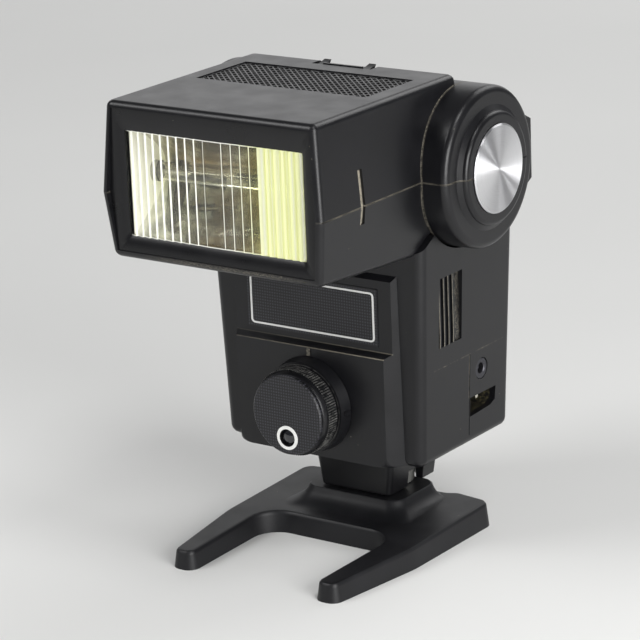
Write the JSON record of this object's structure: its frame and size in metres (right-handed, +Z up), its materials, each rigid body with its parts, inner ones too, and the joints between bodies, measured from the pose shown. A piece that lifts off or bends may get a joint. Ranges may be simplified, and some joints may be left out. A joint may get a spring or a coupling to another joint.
{
  "type": "camera flash with stand",
  "caption": "Tilting camera flash with a ribbed window, side hubs, plug-in round sensor and a shoe foot, standing in a small flat U-shaped stand.",
  "frame": {"origin": "mouth of the tripod thread in the underside of the stand, under the centre of the shoe", "axes": "+Z up, the flash fires toward -Y, +X is the side with the plain metal hub disc and the vents"},
  "size_m": [0.1001, 0.1028, 0.146],
  "materials": {
    "black_satin": "satin moulded black plastic",
    "black_grain": "fine grained moulded black plastic",
    "brass": "turned brass",
    "knurled_metal": "knurled plated wheel",
    "black_plate": "black sheet with a fine dotted weave",
    "white_print": "white printed or moulded plastic",
    "cell_sleeve": "plain sleeve",
    "spring_steel": "bright steel",
    "capacitor_sleeve": "plain dark blue sleeve",
    "board": "green board",
    "winding": "taped winding",
    "plated_metal": "plated metal",
    "red_plastic": "red slider",
    "amber_plastic": "amber button",
    "dark_lens": "dark sensor lens",
    "clear_window": "clear ribbed window, slightly yellowed",
    "bright_reflector": "polished reflector",
    "tube_glass": "quartz glass",
    "spun_aluminium": "spun aluminium"
  },
  "bodies": {
    "stand": {"stand_base": "black_satin", "tripod_insert": "brass"},
    "flash": {"foot_plate": "black_satin", "foot_contact": "brass", "foot_neck": "black_satin", "front_shell": "black_grain", "rear_shell": "black_grain", "name_plate": "black_plate", "plate_frame": "white_print", "battery_holder": "black_satin", "aa_cells": "cell_sleeve", "battery_contacts": "spring_steel", "main_capacitor": "capacitor_sleeve", "circuit_board": "board", "transformer": "winding", "ac_socket": "black_satin", "ac_pins": "brass", "sync_socket": "plated_metal", "body_screws": "plated_metal", "tilt_yoke": "black_satin"},
    "wheel": {"lock_wheel": "knurled_metal"},
    "door": {"battery_door": "black_grain"},
    "switch": {"power_switch": "red_plastic"},
    "button": {"ready_button": "amber_plastic"},
    "sensor": {"sensor_base": "black_satin", "sensor_cap": "black_plate", "eye_ring": "white_print", "sensor_lens": "dark_lens", "sensor_pins": "brass"},
    "ring": {"mode_ring": "black_satin"},
    "head": {"head_upper_shell": "black_grain", "head_lower_shell": "black_grain", "front_bezel": "black_satin", "window_lens": "clear_window", "reflector": "bright_reflector", "flash_tube": "tube_glass", "tube_caps": "plated_metal", "top_grille": "black_plate", "rear_catch": "black_satin", "hub_disc": "spun_aluminium", "dial_scale": "white_print", "dial_rivet": "plated_metal", "pivot_axle": "spring_steel", "head_screws": "plated_metal"},
    "dial": {"dial_ring": "black_satin"}
  },
  "joints": [
    {"name": "shoe_slide", "type": "slide", "parent": "stand", "child": "flash", "axis": [0, 1, 0], "range_m": [0, 0.024]},
    {"name": "lock_turn", "type": "hinge", "parent": "flash", "child": "wheel", "pos_m": [0, 0, 0.01475], "axis": [0, 0, 1], "range_deg": [0, 300]},
    {"name": "head_tilt", "type": "hinge", "parent": "flash", "child": "head", "pos_m": [0, -0.0052, 0.1177], "axis": [-1, 0, 0], "range_deg": [0, 90]},
    {"name": "dial_turn", "type": "hinge", "parent": "head", "child": "dial", "pos_m": [-0.048, -0.0052, 0.1177], "axis": [1, 0, 0], "continuous": true},
    {"name": "sensor_pull", "type": "slide", "parent": "flash", "child": "sensor", "axis": [0, -1, 0], "range_m": [0, 0.012]},
    {"name": "ring_turn", "type": "hinge", "parent": "sensor", "child": "ring", "pos_m": [0, -0.042, 0.0466], "axis": [0, -1, 0], "range_deg": [0, 160]},
    {"name": "door_pull", "type": "slide", "parent": "flash", "child": "door", "axis": [-1, 0, 0], "range_m": [0, 0.015]},
    {"name": "switch_slide", "type": "slide", "parent": "flash", "child": "switch", "axis": [1, 0, 0], "range_m": [0, 0.005]},
    {"name": "button_press", "type": "slide", "parent": "flash", "child": "button", "axis": [0, -1, 0], "range_m": [0, 0.0009], "stiffness_N_per_m": 300, "springref_m": -0.001}
  ]
}
